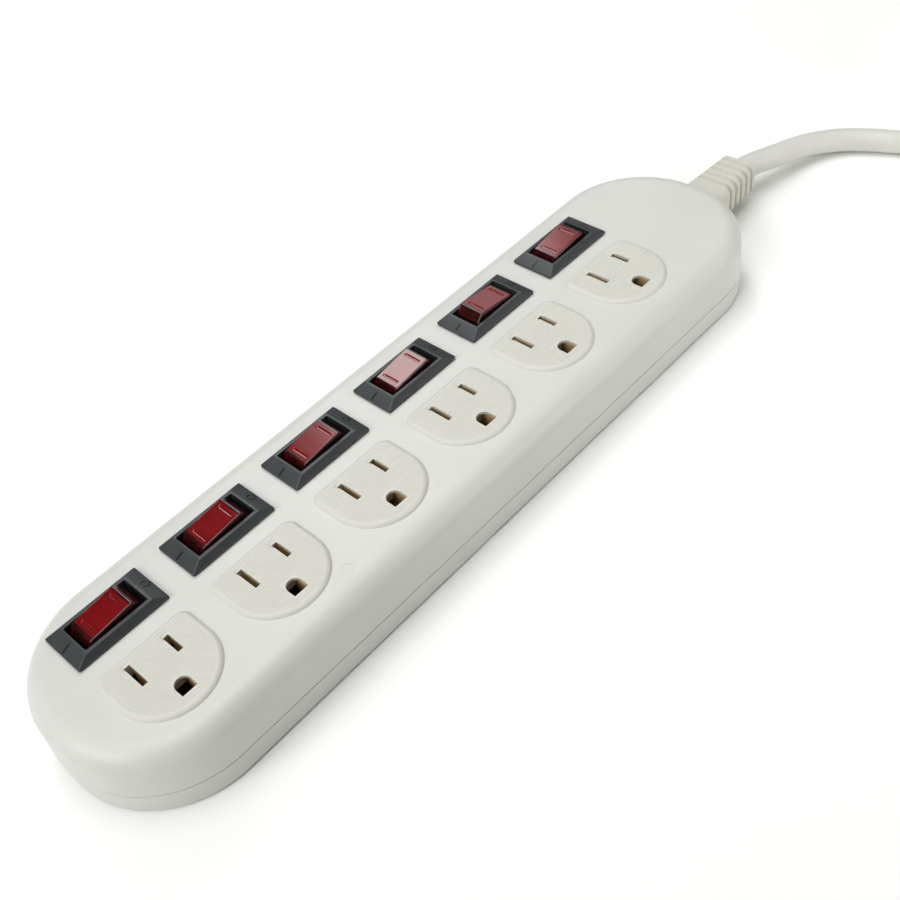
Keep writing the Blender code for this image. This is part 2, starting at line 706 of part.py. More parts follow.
def plug_prongs(look):
    """Two flat blades with a hole near the end, and the round ground pin."""
    length, thin, wide = PLUG_BLADE
    root = PLUG_FRONT + PRONG_ROOT
    hole_x, hole_radius = BLADE_HOLE
    for name, side in (("plug_blade_line", -1), ("plug_blade_neutral", 1)):
        middle = (PLUG_Y + side * BLADE_X, PLUG_BLADE_Z)
        tip = PLUG_FRONT - length
        full = rectangle(thin / 2, wide / 2, middle)
        narrow = rectangle(thin / 4, wide * 0.35, middle)
        sections = ((tip, narrow), (tip + 0.0015, full), (root, full))
        blade = loft([[(x, y, z) for y, z in outline] for x, outline in sections])
        rim = circle(PLUG_FRONT - hole_x, PLUG_BLADE_Z, hole_radius, 12)
        hole = side_prism(rim, middle[0] - thin, middle[0] + thin)
        sub_part(name, carved(blade, cuts=[hole]), look)
    length, radius = GROUND_PIN
    tip = PLUG_FRONT - length
    rings = [
        [(x, y, z) for y, z in circle(PLUG_Y, PLUG_PIN_Z, radius * share, 12)]
        for x, share in ((tip, 0.4), (tip + 0.0012, 0.8), (tip + 0.0026, 1.0), (root, 1.0))
    ]
    sub_part("plug_ground_pin", carved(loft(rings)), look)


def wires():
    """The three cores from the strain relief to the ends of their strips."""
    for name, insulation, route in (
        ("line_lead", (0.02, 0.02, 0.02), LINE_WIRE),
        ("neutral_lead", (0.80, 0.80, 0.78), NEUTRAL_WIRE),
        ("ground_lead", (0.03, 0.22, 0.07), GROUND_WIRE),
    ):
        tube(name, route, WIRE_RADIUS, 0.004, material(name, insulation, 0.45))


def repeated_parts():
    """Everything that stands once at each outlet."""
    face = outlet_face_mesh()
    switch = switch_body_mesh()
    rocker = rocker_mesh()
    lamp = lamp_mesh()
    clip = hot_contact_mesh()
    face_look = material("outlet face", FACE_WHITE, 0.55)
    switch_look = material("switch dark", DARK, 0.45)
    rocker_look = material("rocker red", RED, 0.20)
    lamp_look = material("neon lamp", NEON, 0.10)
    clip_look = material("clip brass", BRASS, 0.35, 1.0)
    for number, (x, over) in enumerate(zip(STATIONS, PRESSED_TOWARDS_CORD), 1):
        tilt = ROCKER_TILT if over else -ROCKER_TILT
        pivot = (x, SWITCH_Y, PIVOT_HEIGHT)
        sub_part(f"outlet_face_{number}", face, face_look, (x, 0.0, 0.0))
        sub_part(f"switch_body_{number}", switch, switch_look, (x, SWITCH_Y, 0.0))
        sub_part(f"rocker_{number}", rocker, rocker_look, pivot, tilt)
        sub_part(f"neon_lamp_{number}", lamp, lamp_look, pivot, tilt)
        sub_part(f"hot_contact_{number}", clip, clip_look, (x + BLADE_X, 0.0, 0.0))


def case_screws():
    mesh = screw_mesh()
    steel = material("screw steel", STEEL, 0.35, 1.0)
    spots = [(x, y) for x in SCREW_X for y in SCREW_Y]
    for number, (x, y) in enumerate(spots, 1):
        sub_part(f"case_screw_{number}", mesh, steel, (x, y, 0.0))


top_cover(material("cover white", WHITE, 0.42))
bottom_base(material("base white", WHITE, 0.50))
repeated_parts()
case_screws()
bus("neutral_bus", BLADE_WIDTH, -BLADE_X, NEUTRAL_Y, material("neutral brass", BRASS, 0.35, 1.0))
bus("ground_bus", PIN_GRIP, 0.0, GROUND_BUS_Y, material("ground brass", BRASS, 0.38, 1.0))
live_bus(material("live brass", BRASS, 0.33, 1.0))
contact_carrier(material("carrier grey", (0.30, 0.30, 0.28), 0.60))
wires()
strain_relief(material("relief white", CORD_WHITE, 0.50))
tube("power_cord_lead", LEAD_ROUTE, CORD_RADIUS, CORD_STEP, material("cord white", CORD_WHITE, 0.50))
cord_hank(material("hank white", CORD_WHITE, 0.50))
cord_tie(material("tie black", (0.02, 0.02, 0.02), 0.55))
tube("power_cord_tail", TAIL_ROUTE, CORD_RADIUS, CORD_STEP, material("tail white", CORD_WHITE, 0.50))
plug_body(material("plug white", CORD_WHITE, 0.50))
plug_prongs(material("prong brass", BRASS, 0.28, 1.0))
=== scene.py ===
"""The looks of the six-outlet power strip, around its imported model. Metres, +Z up."""

import json
import math

import bmesh
import bpy
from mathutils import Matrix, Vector


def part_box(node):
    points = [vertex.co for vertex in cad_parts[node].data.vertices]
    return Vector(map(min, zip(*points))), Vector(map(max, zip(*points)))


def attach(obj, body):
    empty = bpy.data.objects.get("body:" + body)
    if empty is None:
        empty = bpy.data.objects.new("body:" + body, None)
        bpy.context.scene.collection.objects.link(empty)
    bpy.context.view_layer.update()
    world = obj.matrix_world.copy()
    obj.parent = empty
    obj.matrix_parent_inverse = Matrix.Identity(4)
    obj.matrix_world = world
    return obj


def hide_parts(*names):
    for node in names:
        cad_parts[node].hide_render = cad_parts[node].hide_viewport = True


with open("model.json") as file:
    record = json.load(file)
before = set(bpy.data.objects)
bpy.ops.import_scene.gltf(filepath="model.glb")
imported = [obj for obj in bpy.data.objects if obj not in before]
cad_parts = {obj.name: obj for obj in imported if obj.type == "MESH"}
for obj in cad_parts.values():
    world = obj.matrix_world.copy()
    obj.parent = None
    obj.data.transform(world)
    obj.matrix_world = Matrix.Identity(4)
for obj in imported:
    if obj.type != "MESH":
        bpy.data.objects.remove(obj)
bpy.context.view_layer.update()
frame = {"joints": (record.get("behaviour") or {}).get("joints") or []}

NUMBERS = range(1, 7)
GAP = 0.0003  # between pieces that are fixed to each other
PAST = 0.001  # about how far a cutting shape runs out of the solid it cuts
FINE_EDGE = 0.00012  # the bevel on thin mouldings
SOFT_EDGE = 0.0002

# Housing
COVER_LOW, COVER_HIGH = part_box("top_cover")
BASE_LOW, BASE_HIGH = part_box("bottom_base")
TOP = COVER_HIGH.z
SEAM_LOW = COVER_LOW.z - GAP
HOUSING_X = (BASE_LOW.x + BASE_HIGH.x) / 2
HALF_LENGTH = (BASE_HIGH.x - BASE_LOW.x) / 2
HALF_WIDTH = BASE_HIGH.y
PLAN_RADIUS = 0.033
EDGE_RADIUS = 0.007
FOOT_RADIUS = 0.0012
WALL = 0.0022
BASE_WALL = 0.0035
LIP_OFFSET = 0.0025
DRAFT = 0.0003  # how far the cover's wall leans in
CUT_BOTTOM = TOP - 0.010  # in the hollow under the cover
CUT_TOP = TOP + 0.002  # above the faces
SCREW_POCKET_RADIUS = 0.0034
SCREW_POCKET_DEPTH = 0.0021

# Outlet faces. An offset is outward from the outline, and a rise is up from the cover's top.
FACE_BOXES = [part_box(f"outlet_face_{k}") for k in NUMBERS]
STATIONS = [(low.x + high.x) / 2 for low, high in FACE_BOXES]
FACE_BOTTOM = FACE_BOXES[0][0].z
FACE_TOP = FACE_BOXES[0][1].z
FACE_FLANGE = 0.0012
FACE_CHORD_Y = FACE_BOXES[0][1].y - FACE_FLANGE
SLOT_Y = FACE_CHORD_Y - 0.0080
FACE_RADIUS = 0.0155
FACE_ARC_Y = SLOT_Y - 0.0038
FACE_CORNER = 0.003
FACE_RIM = 0.0014  # from the edge to where the ribs start
FACE_EDGE = [  # offsets and rises
    (-GAP, -0.00040),
    (0.00045, -0.00020),
    (0.00032, 0.00004),
    (0.00014, 0.00030),
    (-0.00014, 0.00056),
    (-0.00050, 0.00078),
    (-0.00095, 0.00094),
]
RIB_PITCH = 0.00088
RIB_GROOVE = [(-0.00028, 0.00003), (-0.00010, -0.00010), (0.00010, -0.00010), (0.00028, 0.00003)]
SHORTEST_RIB = 0.0012
SMOOTH_MARGIN = 0.0004  # flat face left round each hole
RING_SPOT = (0.0133, SLOT_Y - 0.0190)  # the small mark beside each outlet
RING_RADII = (0.0015, 0.0018)
RING_DEPTH = 0.00005

# Slots, ground holes and the contacts' pockets under them
BLADE_X = 0.00635
SLOT_HALF = 0.00095
NEUTRAL_SLOT = (-1, 0.0087, 0.00045)  # side, length, and middle from SLOT_Y
HOT_SLOT = (1, 0.0071, 0.0006)
LEAD_IN_HALF = (0.0010, 0.0007)
LEAD_IN_CORNER = 0.0003
LEAD_IN_BACK = 0.0002  # its middle, back from the slot's end
LEAD_IN_DISH = [(0.0, -0.00030), (0.0002, -0.00022), (0.0006, 0.0), (0.0008, 0.0001)]
GROUND_Y = SLOT_Y - 0.0119
GROUND_RADIUS = 0.0025
GROUND_FLAT = 0.0030
PIN_GRIP = 0.0048
FINGER = 0.0006
FINGER_ROOM = 0.0004

# Switches, as half lengths and half widths
BODY_LOW, BODY_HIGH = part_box("switch_body_1")
SWITCH_Y = (BODY_LOW.y + BODY_HIGH.y) / 2
BEZEL = (0.0154, 0.0082)
BEZEL_CORNER = 0.0004
BEZEL_EDGE = 0.0008
BODY = (0.0137, 0.0067)
BODY_CORNER = 0.0006
OPENING = (0.0105, 0.0055)
OPENING_CORNER = 0.0005
RIM_WIDTH = 0.0011
RIM = (OPENING[0] + RIM_WIDTH, OPENING[1] + RIM_WIDTH)
RIM_CORNER = 0.0003
WELL_FLOOR = BODY_LOW.z + 0.0025
BEARING_RADIUS = 0.00155
TAB_THICKNESS = 0.0008
TAB_SLOT = 0.0038
TAB_SLOT_TOP = 0.0153
MARK_RING = (0.00095, 0.0014)  # radii
MARK_BAR = (0.0015, 0.00028, 0.00027)  # half length, half width and corner
MARK_HEIGHT = 0.0003
MARK_SUNK = 0.00022

# Rockers, about their pivots
PIVOTS = {j["child"]: Vector(j["pos_m"]) for j in frame["joints"]}
TILT = math.radians(6.5)
ROCKER_HALF_WIDTH = 0.0048
ROCKER_TOP = 0.0065
ROCKER_SIDE = [(0.0086, -0.0040), (0.0092, 0.0036), (0.0074, ROCKER_TOP)]
ROCKER_EDGE = 0.00045
PIN_RADIUS = 0.00125
PIN_REACH = (0.0043, 0.0064)
GRIP_X = 0.0051
GRIP_LONGER = 0.0028
GRIP_DISH = [  # half widths and heights
    (0.00070, 0.0003),
    (0.00058, 0.0),
    (0.00048, -0.00010),
    (0.00030, -0.00026),
    (0.00010, -0.00030),
]
LAMP_ROOM = (0.0079, 0.0038, 0.0050)  # half sizes of the hollow
# Where the rockers' red goes from a painted lit tone in the middle to a painted shade at the ends and sides
PAINTED_LIGHT_ALONG = (0.0060, 0.0068)  # from the middle: painted light to the first, painted shade from the second
PAINTED_LIGHT_ACROSS = (0.0042, 0.0048)

# Boot, as half widths and half heights
BOOT_FLANGE = (0.0085, 0.0065)
BOOT_NECK = (0.0065, 0.0048)
BOOT_ROOT = (0.0084, 0.0066)
BOOT_TIP = (0.0073, 0.0061)
BOOT_FLANGE_THICKNESS = 0.0030
BOOT_CORNER = 0.0030
BOOT_STAND_OFF = 0.00035
BOOT_EDGE = 0.0004
BOOT_TIP_INSET = 0.0005
BOOT_SMOOTH = 0.0103  # from the root to the first groove
BOOT_GROOVES = 5
BOOT_PITCH = 0.0037
BOOT_GROOVE = [  # distances along and insets
    (0.0, 0.0),
    (0.0002, 0.0007),
    (0.0005, 0.0011),
    (0.0010, 0.0011),
    (0.0014, 0.0007),
    (0.0017, 0.0),
]
NOTCH_Z = (0.0060, 0.0163)

# Plug, from its front face back to the cord
PLUG_NOSE = [  # distance back, inset and corner radius
    (0.0, 0.0012, 0.0050),
    (0.0005, 0.0004, 0.0056),
    (0.0014, 0.0, 0.0060),
    (0.0130, 0.0, 0.0060),
]
PLUG_TAPER_START = 0.0150
PLUG_TAPER_BELOW = 0.0052
PLUG_TAPER_ABOVE = 0.0068
PLUG_WAIST = 0.018  # from the back
PLUG_WAIST_HALF = 0.0070
PLUG_RIDGE = 0.0004
PLUG_COLLARS = 5
PLUG_COLLAR_START = 0.0012
PLUG_COLLAR_PITCH = 0.0033
PLUG_COLLAR_HALF = 0.0069
PLUG_COLLAR_TAPER = 0.00025
PLUG_COLLAR = [(0.0, 0.0), (0.0004, 0.0007), (0.0013, 0.0007), (0.0017, 0.0)]  # along and inset
PLUG_COLLAR_CORNER = 0.0045
PLUG_COLLAR_FLATTEN = 0.95
PLUG_END = (0.0056, 0.0054)
PLUG_END_CORNER = 0.0050

FLOOR_Z = -0.0002
FLOOR_HALF = 6.0

# Cord
CORD_RADIUS = 0.0045
EXIT = (0.1598, 0.0, 0.0110)

# From the boot to the folded length
LEAD_ROUTE = [
    EXIT,
    (0.1670, -0.0012, 0.0108),
    (0.1792, -0.0049, 0.0095),
    (0.1940, -0.0089, 0.0072),
    (0.2064, -0.0167, 0.0053),
    (0.2140, -0.0272, 0.0046),
    (0.2184, -0.0367, 0.0045),
    (0.2264, -0.0481, 0.0045),
    (0.2382, -0.0558, 0.0045),
    (0.2521, -0.0585, 0.0045),
    (0.2680, -0.0585, 0.0048),
    (0.2825, -0.0585, 0.0054),
]

# Off the top layer of the folded length, round to the plug
TAIL_ROUTE = [
    (0.4353, -0.0536, 0.0236),
    (0.4450, -0.0455, 0.0230),
    (0.4513, -0.0345, 0.0205),
    (0.4534, -0.0252, 0.0155),
    (0.4526, -0.0140, 0.0100),
    (0.4475, -0.0023, 0.0063),
    (0.4385, 0.0074, 0.0052),
    (0.4280, 0.0126, 0.0072),
    (0.4170, 0.0145, 0.0118),
    (0.4060, 0.0145, 0.0130),
]
HANK_LEFT = 0.3050
HANK_RIGHT = 0.4170
HANK_Y = -0.0315
HANK_FOLD = 0.0270
HANK_BOTTOM = 0.0011
CLIMB_START = 0.6  # in twelfths of the fold
CLIMB_LENGTH = 9.0
TIE_THICKNESS = 0.0008
TIE_CORNER = 0.003


# Shapes


def loft(rings):
    """A closed solid through rings of one point count, capped at both ends."""
    shape = bmesh.new()
    loops = [[shape.verts.new(point) for point in ring] for ring in rings]
    shape.faces.new(loops[0])
    shape.faces.new(loops[-1])
    for lower, upper in zip(loops, loops[1:]):
        for i, corner in enumerate(lower):
            j = (i + 1) % len(lower)
            shape.faces.new((corner, lower[j], upper[j], upper[i]))
    bmesh.ops.recalc_face_normals(shape, faces=shape.faces)
    return shape


def prism(outline, low, high):
    return loft([[(x, y, z) for x, y in outline] for z in (low, high)])


def side_prism(profile, near, far):
    return loft([[(x, y, z) for x, z in profile] for y in (near, far)])


def box(x, y, z):
    return prism([(x[0], y[0]), (x[1], y[0]), (x[1], y[1]), (x[0], y[1])], *z)


def arc(centre, radius, start, end, steps):
    """Points from one angle to another, in degrees, both ends included."""
    angles = [math.radians(start + (end - start) * i / steps) for i in range(steps + 1)]
    return [(centre[0] + radius * math.cos(a), centre[1] + radius * math.sin(a)) for a in angles]


def circle(x, y, radius, steps):
    return arc((x, y), radius, 0, 360 - 360 / steps, steps - 1)


def ease(share):
    """From 0 to 1 as share goes from 0 to 1, with a level start and end."""
    return share**2 * (3 - 2 * share)


def rounded(half_x, half_y, radius, steps, centre=(0.0, 0.0)):
    """A rectangle with round corners, anticlockwise."""
    points = []
    for quarter, (sx, sy) in enumerate(((1, 1), (-1, 1), (-1, -1), (1, -1))):
        corner = (centre[0] + sx * (half_x - radius), centre[1] + sy * (half_y - radius))
        points += arc(corner, radius, 90 * quarter, 90 * quarter + 90, steps)
    return points


def rounded_polygon(corners, radius, steps):
    """A convex polygon with each corner cut to a smooth curve."""
    points = []
    count = len(corners)
    for i, corner in enumerate(corners):
        before = Vector(corners[i - 1])
        after = Vector(corners[(i + 1) % count])
        here = Vector(corner)
        start = here + (before - here).normalized() * radius
        end = here + (after - here).normalized() * radius
        for k in range(steps + 1):
            t = k / steps
            point = start * (1 - t) ** 2 + here * 2 * t * (1 - t) + end * t**2
            points.append((point.x, point.y))
    return points


def grown(outline, by):
    """An anticlockwise outline moved outward."""
    points = []
    count = len(outline)
    for i, point in enumerate(outline):
        before = Vector(outline[i - 1])
        after = Vector(outline[(i + 1) % count])
        along = (after - before).normalized()
        points.append((point[0] + along.y * by, point[1] - along.x * by))
    return points


def moved(shape, x=0.0, y=0.0, z=0.0):
    bmesh.ops.translate(shape, verts=shape.verts, vec=(x, y, z))
    return shape


def flat_ring(inner, outer, depth, steps):
    """A flat ring standing on Z = 0."""
    shape = bmesh.new()
    loops = []
    for radius, z in ((inner, 0.0), (outer, 0.0), (outer, depth), (inner, depth)):
        loops.append([shape.verts.new((x, y, z)) for x, y in circle(0, 0, radius, steps)])
    for lower, upper in zip(loops, [*loops[1:], loops[0]]):
        for i, corner in enumerate(lower):
            j = (i + 1) % steps
            shape.faces.new((corner, lower[j], upper[j], upper[i]))
    bmesh.ops.recalc_face_normals(shape, faces=shape.faces)
    return shape


def together(shapes):
    """Solids that don't touch, as one shape."""
    whole = bmesh.new()
    for shape in shapes:
        part = bpy.data.meshes.new("part")
        shape.to_mesh(part)
        shape.free()
        whole.from_mesh(part)
        bpy.data.meshes.remove(part)
    return whole


def bare_object(name, shape):
    mesh = bpy.data.meshes.new(name)
    shape.to_mesh(mesh)
    shape.free()
    made = bpy.data.objects.new(name, mesh)
    bpy.context.scene.collection.objects.link(made)
    return made


def carved(shape, joins=(), cuts=(), bevel=0.0, segments=2):
    """The mesh of a solid with others joined and cut, and its sharp edges broken."""
    body = bare_object("carved", shape)
    tools = []
    for operation, others in (("UNION", joins), ("DIFFERENCE", cuts)):
        for other in others:
            tool = bare_object("tool", other)
            step = body.modifiers.new(operation, "BOOLEAN")
            step.operation = operation
            step.solver = "EXACT"
            step.object = tool
            tools.append(tool)
    if bevel:
        step = body.modifiers.new("edges", "BEVEL")
        step.width = bevel
        step.segments = segments
        step.limit_method = "ANGLE"
        step.angle_limit = math.radians(40)
        step.use_clamp_overlap = True
    depsgraph = bpy.context.evaluated_depsgraph_get()
    mesh = bpy.data.meshes.new_from_object(body.evaluated_get(depsgraph))
    for helper in (body, *tools):
        bpy.data.objects.remove(helper)
    return mesh


def piece(name, mesh, look, body, place=(0.0, 0.0, 0.0), tilt=0.0, sharp=35):
    """One piece of the visual model, riding on its body."""
    mesh.shade_smooth()
    mesh.set_sharp_from_angle(angle=math.radians(sharp))
    made = bpy.data.objects.new(name, mesh)
    made.location = place
    made.rotation_euler = (0.0, tilt, 0.0)
    made.data.materials.clear()
    made.data.materials.append(look)
    bpy.context.scene.collection.objects.link(made)
    made.modifiers.new("flat faces", "WEIGHTED_NORMAL").keep_sharp = True
    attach(made, body)
    return made


# Materials


def shader_of(name):
    made = bpy.data.materials.new(name)
    made.use_nodes = True
    return made, made.node_tree, made.node_tree.nodes["Principled BSDF"]


def noise(tree, scale, detail=3.0, stretch=(1.0, 1.0, 1.0)):
    """A noise texture in the piece's own coordinates, in features per metre."""
    place = tree.nodes.new("ShaderNodeTexCoord")
    mapping = tree.nodes.new("ShaderNodeMapping")
    mapping.inputs["Scale"].default_value = stretch
    texture = tree.nodes.new("ShaderNodeTexNoise")
    texture.inputs["Scale"].default_value = scale
    texture.inputs["Detail"].default_value = detail
    tree.links.new(place.outputs["Object"], mapping.inputs["Vector"])
    tree.links.new(mapping.outputs["Vector"], texture.inputs["Vector"])
    return texture.outputs["Fac"]


def ramp(tree, source, low, high, start=0.3, end=0.7):
    made = tree.nodes.new("ShaderNodeValToRGB")
    made.color_ramp.elements[0].position = start
    made.color_ramp.elements[1].position = end
    made.color_ramp.elements[0].color = (*low, 1.0)
    made.color_ramp.elements[1].color = (*high, 1.0)
    tree.links.new(source, made.inputs["Fac"])
    return made.outputs["Color"]


def graded(tree, source, low, high):
    """A noise value stretched to run from low to high."""
    made = tree.nodes.new("ShaderNodeMapRange")
    made.inputs["From Min"].default_value = 0.3
    made.inputs["From Max"].default_value = 0.7
    made.inputs["To Min"].default_value = low
    made.inputs["To Max"].default_value = high
    tree.links.new(source, made.inputs["Value"])
    return made.outputs["Result"]


def bump(tree, shader, source, depth):
    made = tree.nodes.new("ShaderNodeBump")
    made.inputs["Distance"].default_value = depth
    made.inputs["Strength"].default_value = 1.0
    tree.links.new(source, made.inputs["Height"])
    tree.links.new(made.outputs["Normal"], shader.inputs["Normal"])


def plastic(name, colour, roughness, grain=1500.0, depth=0.00001, mottle=0.02):
    """Moulded plastic: a fine spark-eroded grain, with a faint mottle in colour and gloss."""
    made, tree, shader = shader_of(name)
    broad = noise(tree, 45.0, 4.0)
    darker = tuple(c * (1 - mottle) for c in colour)
    lighter = tuple(min(1.0, c * (1 + mottle)) for c in colour)
    tree.links.new(ramp(tree, broad, darker, lighter), shader.inputs["Base Color"])
    gloss = noise(tree, 180.0, 3.0)
    tree.links.new(graded(tree, gloss, roughness - 0.04, roughness + 0.04), shader.inputs["Roughness"])
    bump(tree, shader, noise(tree, grain, 2.0), depth)
    return made


def metal(name, colour, roughness, brushed=(1.0, 1.0, 1.0), bare=1.0):
    """Stamped sheet metal with faint drawing lines and dulled patches, bare or under a dull film."""
    made, tree, shader = shader_of(name)
    patches = noise(tree, 220.0, 4.0)
    dull = tuple(c * 0.72 for c in colour)
    tree.links.new(ramp(tree, patches, dull, colour), shader.inputs["Base Color"])
    lines = noise(tree, 1800.0, 2.0, brushed)
    tree.links.new(graded(tree, lines, roughness - 0.06, roughness + 0.10), shader.inputs["Roughness"])
    shader.inputs["Metallic"].default_value = bare
    bump(tree, shader, lines, 0.000004)
    return made


def within(tree, source, start, end):
    """1 where a value's size is under start, falling to 0 at end."""
    size = tree.nodes.new("ShaderNodeMath")
    size.operation = "ABSOLUTE"
    tree.links.new(source, size.inputs[0])
    made = tree.nodes.new("ShaderNodeMapRange")
    made.interpolation_type = "SMOOTHSTEP"
    made.inputs["From Min"].default_value = start
    made.inputs["From Max"].default_value = end
    made.inputs["To Min"].default_value = 1.0
    made.inputs["To Max"].default_value = 0.0
    tree.links.new(size.outputs["Value"], made.inputs["Value"])
    return made.outputs["Result"]


def clear_red(name):
    """Clear red moulding with painted light: painted bright over its lamp's hollow, painted shade, mottled
    at random, on the solid ends and sides.
    """
    made, tree, shader = shader_of(name)
    flow = noise(tree, 300.0, 3.0, (1.0, 0.35, 1.0))
    # Painted light: a brighter red over the lamp's hollow, with a random flow mottle
    painted_lit_red = ramp(tree, flow, (0.17, 0.002, 0.004), (0.26, 0.004, 0.006))
    # Painted shade: a dark, randomly mottled red for the solid ends and sides, standing in for shade and
    # the dark inside seen through them
    painted_shade_red = ramp(tree, noise(tree, 700.0, 3.0), (0.012, 0.002, 0.002), (0.085, 0.004, 0.004), 0.35, 0.75)
    place = tree.nodes.new("ShaderNodeTexCoord")
    axes = tree.nodes.new("ShaderNodeSeparateXYZ")
    tree.links.new(place.outputs["Object"], axes.inputs["Vector"])
    along = within(tree, axes.outputs["X"], *PAINTED_LIGHT_ALONG)
    across = within(tree, axes.outputs["Y"], *PAINTED_LIGHT_ACROSS)
    # Painted light mask: 1 over the lamp's hollow, falling to 0 on the painted shade of the ends and sides
    painted_light_mask = tree.nodes.new("ShaderNodeMath")
    painted_light_mask.operation = "MULTIPLY"
    tree.links.new(along, painted_light_mask.inputs[0])
    tree.links.new(across, painted_light_mask.inputs[1])
    mixed = tree.nodes.new("ShaderNodeMix")
    mixed.data_type = "RGBA"
    tree.links.new(painted_light_mask.outputs["Value"], mixed.inputs["Factor"])
    tree.links.new(painted_shade_red, mixed.inputs["A"])
    tree.links.new(painted_lit_red, mixed.inputs["B"])
    tree.links.new(mixed.outputs["Result"], shader.inputs["Base Color"])
    tree.links.new(graded(tree, noise(tree, 120.0), 0.15, 0.20), shader.inputs["Roughness"])
    shader.inputs["IOR"].default_value = 1.50
    shader.inputs["Transmission Weight"].default_value = 0.20
    shader.inputs["Coat Weight"].default_value = 0.4
    shader.inputs["Coat Roughness"].default_value = 0.16
    return made


def lamp_glass(name):
    """Small neon lamp: warm glass with smoky patches."""
    made, tree, shader = shader_of(name)
    smoke = noise(tree, 400.0, 2.0)
    colour = ramp(tree, smoke, (0.75, 0.35, 0.20), (0.95, 0.60, 0.40))
    tree.links.new(colour, shader.inputs["Base Color"])
    shader.inputs["Roughness"].default_value = 0.08
    shader.inputs["Transmission Weight"].default_value = 0.6
    return made


def strap_weave(name):
    """Black hook-and-loop strap: a close weave under short fuzz."""
    made, tree, shader = shader_of(name)
    threads = noise(tree, 1500.0, 2.0, (1.0, 3.0, 1.0))
    colour = ramp(tree, threads, (0.010, 0.010, 0.011), (0.035, 0.035, 0.038))
    tree.links.new(colour, shader.inputs["Base Color"])
    shader.inputs["Roughness"].default_value = 0.85
    shader.inputs["Sheen Weight"].default_value = 0.4
    bump(tree, shader, threads, 0.0002)
    return made


WHITE = plastic("case_white", (0.640, 0.640, 0.600), 0.42)
FACE_WHITE = plastic("face_white", (0.635, 0.627, 0.568), 0.50)
BEZEL_GREY = plastic("bezel_grey", (0.036, 0.041, 0.043), 0.42, 1800.0, 0.00001, 0.10)
MARK_GREY = plastic("mark_grey", (0.007, 0.008, 0.008), 0.30, 1800.0, 0.00001, 0.05)
CORD_WHITE = plastic("cord_white", (0.640, 0.635, 0.592), 0.48, 900.0, 0.00002, 0.03)
BOOT_WHITE = plastic("boot_white", (0.610, 0.600, 0.525), 0.48, 900.0, 0.00002, 0.03)
RED = clear_red("rocker_red")
BRASS = metal("contact_brass", (0.86, 0.62, 0.30), 0.45, bare=0.5)
PRONG = metal("prong_brass", (0.78, 0.60, 0.32), 0.24, (0.2, 1.0, 1.0))
STEEL = metal("screw_steel", (0.56, 0.56, 0.55), 0.32)
LAMP = lamp_glass("lamp_glass")
CARRIER = plastic("carrier_grey", (0.30, 0.30, 0.28), 0.60)
STRAP = strap_weave("strap_black")
WIRES = {
    "line_lead": plastic("wire_black", (0.02, 0.02, 0.02), 0.45, 900.0, 0.00002, 0.20),
    "neutral_lead": plastic("wire_white", (0.70, 0.70, 0.68), 0.45, 900.0, 0.00002),
    "ground_lead": plastic("wire_green", (0.03, 0.22, 0.07), 0.45, 900.0, 0.00002, 0.10),
}


# Camera, floor and light


def camera():
    data = bpy.data.cameras.new("camera")
    data.lens = 46.54
    data.sensor_width = 36.0
    made = bpy.data.objects.new("camera", data)
    made.location = (-0.17929, -0.20159, 0.27588)
    made.rotation_euler = tuple(math.radians(a) for a in (43.333, 7.017, -47.601))
    bpy.context.scene.collection.objects.link(made)
    bpy.context.scene.camera = made


def floor():
    made, tree, shader = shader_of("floor_white")
    tone = ramp(tree, noise(tree, 3.0), (0.95, 0.95, 0.925), (0.96, 0.96, 0.935))
    tree.links.new(tone, shader.inputs["Base Color"])
    shader.inputs["Roughness"].default_value = 0.9
    shader.inputs["Specular IOR Level"].default_value = 0.0
    shape = bmesh.new()
    bmesh.ops.create_grid(shape, x_segments=1, y_segments=1, size=FLOOR_HALF)
    sheet = bare_object("floor", shape)
    sheet.location.z = FLOOR_Z
    sheet.data.materials.append(made)


def softbox(name, azimuth, elevation, distance, size, radiance, aim=(0.0, 0.0, 0.0), spread=180.0):
    """A light aimed at a point from a direction in degrees, azimuth 0 at +X and 90 at +Y.

    The radiance is the one straight ahead. A narrower spread needs less energy for it.
    """
    data = bpy.data.lights.new(name, "AREA")
    data.shape = "RECTANGLE"
    data.size, data.size_y = size
    data.spread = math.radians(spread)
    half_spread = data.spread / 2
    data.energy = radiance * math.pi * size[0] * size[1] * (1 - half_spread / math.tan(half_spread))
    turn, rise = math.radians(azimuth), math.radians(elevation)
    level = distance * math.cos(rise)
    away = Vector((level * math.cos(turn), level * math.sin(turn), distance * math.sin(rise)))
    made = bpy.data.objects.new(name, data)
    made.location = Vector(aim) + away
    made.rotation_euler = (-away).to_track_quat("-Z", "Y").to_euler()
    made.visible_camera = False
    bpy.context.scene.collection.objects.link(made)


def lights():
    world = bpy.data.worlds.new("studio")
    world.use_nodes = True
    world.node_tree.nodes["Background"].inputs["Color"].default_value = (1.0, 1.0, 1.0, 1.0)
    world.node_tree.nodes["Background"].inputs["Strength"].default_value = 0.03
    bpy.context.scene.world = world
    softbox("overhead", azimuth=100.0, elevation=84.0, distance=2.6, size=(2.0, 2.0), radiance=3.6)
    softbox("behind", azimuth=59.5, elevation=47.0, distance=2.0, size=(0.50, 0.80), radiance=5.9)
    softbox("behind low", azimuth=40.0, elevation=30.0, distance=2.0, size=(0.40, 0.40), radiance=1.2)
    softbox("left", azimuth=175.0, elevation=35.0, distance=3.5, size=(2.1, 2.1), radiance=5.3)
    softbox(
        "card",
        azimuth=-66.0,
        elevation=17.0,
        distance=0.62,
        size=(0.35, 0.35),
        radiance=8.0,
        aim=(0.14, -0.035, 0.012),
        spread=45.0,
    )
    bpy.context.scene.view_settings.view_transform = "Standard"


# Cord


